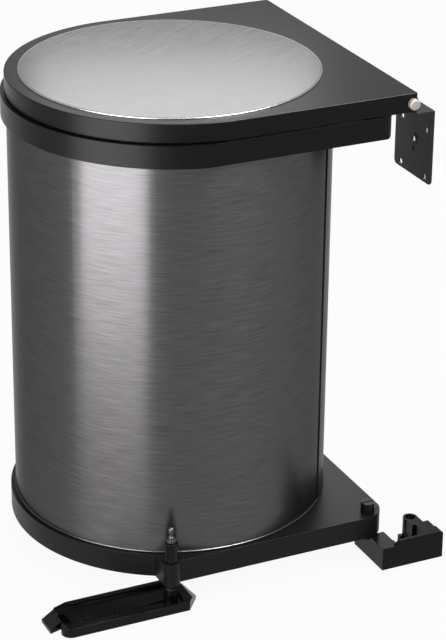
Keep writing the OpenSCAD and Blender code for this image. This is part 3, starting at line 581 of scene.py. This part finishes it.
# %% The hem
hem_out, hem_half, hem_section = 1.1 * mm, 0.9 * mm, 12


def ring_points(radius, middle, out, half, turns, section):
    """A closed ring round the body's axis with an oval section.

    At the angle a round the axis and b round the section, the point's distance from the axis is
    radius plus out times cos b, in the direction a, and its height is middle plus half times
    sin b."""
    around = np.linspace(0.0, 2.0 * np.pi, turns, endpoint=False)[:, None]
    oval = np.linspace(0.0, 2.0 * np.pi, section, endpoint=False)[None]
    reach = radius + out * np.cos(oval)
    height = np.broadcast_to(middle + half * np.sin(oval), (turns, section))
    grid = [body_axis[0] + reach * np.cos(around), body_axis[1] + reach * np.sin(around), height]
    return np.stack(grid, axis=-1).reshape(-1, 3)


# The section runs round the other way than a profile does, so each quad is read backwards to
# point outwards.
backwards = [0, 3, 2, 1]
hem_points = ring_points(body_radius, shell_foot + hem_half, hem_out, hem_half, fine_turns,
                         hem_section)
hem_faces = grid_faces(fine_turns, hem_section, rows_join=True)[:, backwards]
hem = add_piece("rolled_hem", hem_points, [hem_faces], body_steel, "bin")
print("hem faces", len(hem.data.polygons))

# %% [markdown]
# ## The painted shadow beside the seam
# The body's sheet laps over itself, and the step at the edge of the lap throws a thin dark shade
# up the wall. That shade is painted here as a low black bead along the lap's edge: a half ellipse
# that is carried straight up the wall. The place of the lap's edge follows from its box: its
# lowest Y is the radius times the sine of its angle.

# %% The painted seam shadow
lap_low, lap_high = low_and_high("seam_lap")
lap_thickness = 0.85 * mm
lap_angle = math.asin((lap_low[1] - body_axis[1]) / (body_radius + lap_thickness))
bead_width, bead_height = 1.5 * mm, 0.55 * mm
bead_rows, bead_columns = 40, 12


def bead_points(rows, columns):
    """A bead of painted shadow up a round wall: its section is a half ellipse across the wall, with
    a flat back.

    At the angle b round the section, the point stands bead_height times sin b off the wall, and
    lies along the wall at the lap's edge less half the width times one plus cos b."""
    section = np.linspace(0.0, np.pi, columns)
    along = -bead_width / 2 * (1 + np.cos(section))
    angle = lap_angle + along / body_radius
    radius = body_radius + bead_height * np.sin(section)
    outline = np.stack([radius * np.cos(angle), radius * np.sin(angle)], axis=-1) + body_axis
    flat = np.repeat(outline[None], rows, axis=0)
    height = np.linspace(lap_low[2], lap_high[2], rows)[:, None, None]
    return np.concatenate([flat, np.repeat(height, columns, axis=1)], axis=-1).reshape(-1, 3)


first_row = np.arange(bead_columns)
bead_ends = np.stack([first_row[::-1], first_row + (bead_rows - 1) * bead_columns])
bead_faces = [grid_faces(bead_rows, bead_columns), bead_ends]
# The bead is painted shadow: a black strip where the lap's edge throws its shade.
bead = add_piece("seam_shadow_bead", bead_points(bead_rows, bead_columns), bead_faces, seam_shadow_black,
                 "bin")
print("lap edge at", round(math.degrees(lap_angle), 1), "degrees, bead faces",
      len(bead.data.polygons))

# %% [markdown]
# ## Floor, backdrop and light
# The bin stands on a pale floor that runs to a pale background. The floor glows, and the
# background is brighter, only for the camera and for rays that a surface mirrors or lets through.
# So steel and enamel show the pale room, and the bin itself is lit evenly.


# %% The floor
def seen_directly(tree):
    """One for rays of the camera, for mirrored and for transmitted ones, and zero for others."""
    path = tree.nodes.new("ShaderNodeLightPath").outputs
    straight = math_node(tree, "MAXIMUM", path["Is Camera Ray"], path["Is Glossy Ray"])
    return math_node(tree, "MAXIMUM", straight, path["Is Transmission Ray"])


def make_floor(half_side, drop, glow_share):
    """A large level sheet just under the bin, which glows for rays that see it directly."""
    corners = half_side * np.array([[-1, -1, 0], [1, -1, 0], [1, 1, 0], [-1, 1, 0]])
    data = bpy.data.meshes.new("floor")
    data.from_pydata(corners.tolist(), [], [(0, 1, 2, 3)])
    floor = bpy.data.objects.new("floor", data)
    floor.location.z = -drop
    bpy.context.collection.objects.link(floor)
    material, tree, shader = new_material("Pale floor")
    shader.inputs["Base Color"].default_value = (0.9, 0.9, 0.9, 1.0)
    shader.inputs["Roughness"].default_value = 0.9
    shader.inputs["Specular IOR Level"].default_value = 0.0
    glow = tree.nodes.new("ShaderNodeEmission")
    share = math_node(tree, "MULTIPLY", seen_directly(tree), glow_share)
    mix_shaders(tree, share, shader.outputs["BSDF"], glow.outputs["Emission"],
                tree.nodes["Material Output"])
    data.materials.append(material)


make_floor(half_side=6.0, drop=0.5 * mm, glow_share=0.93)


# %% The background and the lamp
def make_world(room_level, seen_level):
    """A pale world of seen_level for rays that see it directly, and room_level for all others."""
    world = bpy.data.worlds.new("Pale room")
    world.use_nodes = True
    tree = world.node_tree
    tree.nodes.clear()
    shades = []
    for level in (room_level, seen_level):
        shade = tree.nodes.new("ShaderNodeBackground")
        shade.inputs["Color"].default_value = (0.8, 0.8, 0.8, 1.0)
        shade.inputs["Strength"].default_value = level
        shades.append(shade.outputs[0])
    mix_shaders(tree, seen_directly(tree), *shades, tree.nodes.new("ShaderNodeOutputWorld"))
    bpy.context.scene.world = world


def soft_lamp(name, place, aim, side, radiance):
    """A square lamp at place that faces aim. Its power is radiance times its area times pi."""
    lamp = bpy.data.lights.new(name, "AREA")
    lamp.shape = "SQUARE"
    lamp.size = side
    lamp.energy = radiance * side * side * math.pi
    holder = bpy.data.objects.new(name, lamp)
    holder.location = place
    holder.rotation_euler = (Vector(aim) - Vector(place)).to_track_quat("-Z", "Y").to_euler()
    bpy.context.collection.objects.link(holder)


make_world(room_level=0.75, seen_level=1.0)
soft_lamp("top", place=(-0.2, -0.3, 2.2), aim=(*body_axis, 0.2), side=1.6, radiance=1.5)

# %% [markdown]
# ## Bright cards
# Metal and enamel show what stands round them. A photographer puts up bright cards that are out of
# the picture, and their mirror images draw the form. Here a card is a curved sheet that glows and
# is seen by mirror-like rays alone, so it lights nothing else. It is part of a turned surface: a
# profile of radius and height, carried round the body's axis between two bearings.


# %% Glowing cards
def card_mesh(name, profile, bearings, steps=24):
    """A sheet that follows a profile of radius and height round the body, between two bearings.

    At the bearing a, a profile point of radius r and height h lies at the body's axis plus
    (r cos a, r sin a), and at the height h."""
    profile = np.asarray(profile)
    bearing = np.radians(np.linspace(*bearings, steps + 1))
    ring = np.stack([np.cos(bearing), np.sin(bearing)], axis=-1)
    flat = profile[:, None, :1] * ring + body_axis
    height = np.repeat(profile[:, None, 1:], steps + 1, axis=1)
    points = np.concatenate([flat, height], axis=-1).reshape(-1, 3)
    row, column = np.meshgrid(np.arange(len(profile) - 1), np.arange(steps), indexing="ij")
    here = row * (steps + 1) + column
    above = here + steps + 1
    faces = np.stack([here, here + 1, above + 1, above], axis=-1).reshape(-1, 4)
    data = bpy.data.meshes.new(name)
    data.from_pydata(points.tolist(), [], faces.tolist())
    return data


def glow_card(name, profile, bearings, radiance):
    """A glowing sheet of the given radiance that only mirror-like rays can see."""
    data = card_mesh(name, profile, bearings)
    card = bpy.data.objects.new(name, data)
    bpy.context.collection.objects.link(card)
    material, tree, _ = new_material(name)
    glow = tree.nodes.new("ShaderNodeEmission")
    glow.inputs["Strength"].default_value = radiance
    feed(tree, tree.nodes["Material Output"].inputs["Surface"], glow.outputs["Emission"])
    data.materials.append(material)
    card.visible_camera = False
    card.visible_diffuse = False
    card.visible_transmission = False
    card.visible_shadow = False


# Each card: its profile as (radius, height) in metres, its bearings in degrees and its radiance.
cards = {
    "side card": ([(0.74, 0.003), (1.0, 0.003), (1.0, 0.4)], (185.5, 231.0), 11.2),
    "high side card": ([(1.0, 0.5), (1.0, 1.2)], (185.5, 231.0), 16.0),
    "card behind the lid": ([(0.40, 0.545), (0.40, 0.74)], (44.5, 85.0), 3.1),
    "card behind the tray": ([(0.40, 0.08), (0.40, 0.42)], (30.0, 80.0), 2.5),
    "edge card": ([(0.85, 1.2), (0.65, 1.55), (0.35, 1.75)], (-75.0, -20.0), 60.0),
}
for name, (profile, bearings, radiance) in cards.items():
    glow_card(name, profile, bearings, radiance)
print("cards:", ", ".join(cards))

# %% [markdown]
# ## The camera
# The photograph was taken from the left of the cabinet's opening and from above. The camera stands
# where the perspective of the round edges puts it, with a long lens. It looks along forward, and
# right and up span its picture, turned by the small roll.

# %% Place the camera
camera_place = Vector((-0.9352, -1.5780, 1.0442))
yaw, pitch, tilt = math.radians(25.63), math.radians(24.63), math.radians(0.66)
lens_mm, sensor_mm, far_clip = 138.34, 36.0, 50.0
forward = Vector((math.sin(yaw) * math.cos(pitch), math.cos(yaw) * math.cos(pitch),
                  -math.sin(pitch)))
level_right = Vector((math.cos(yaw), -math.sin(yaw), 0.0))
level_up = level_right.cross(forward)
right = level_right * math.cos(tilt) + level_up * math.sin(tilt)
up = -level_right * math.sin(tilt) + level_up * math.cos(tilt)
turned = Matrix((right, up, -forward)).transposed().to_4x4()
camera_data = bpy.data.cameras.new("camera")
camera_data.lens = lens_mm
camera_data.sensor_width = sensor_mm
camera_data.clip_end = far_clip
camera = bpy.data.objects.new("camera", camera_data)
camera.matrix_world = Matrix.Translation(camera_place) @ turned
bpy.context.collection.objects.link(camera)
bpy.context.scene.camera = camera
bpy.context.scene.view_settings.view_transform = "Standard"
print("camera at", tuple(round(v, 3) for v in camera_place), "lens", lens_mm)
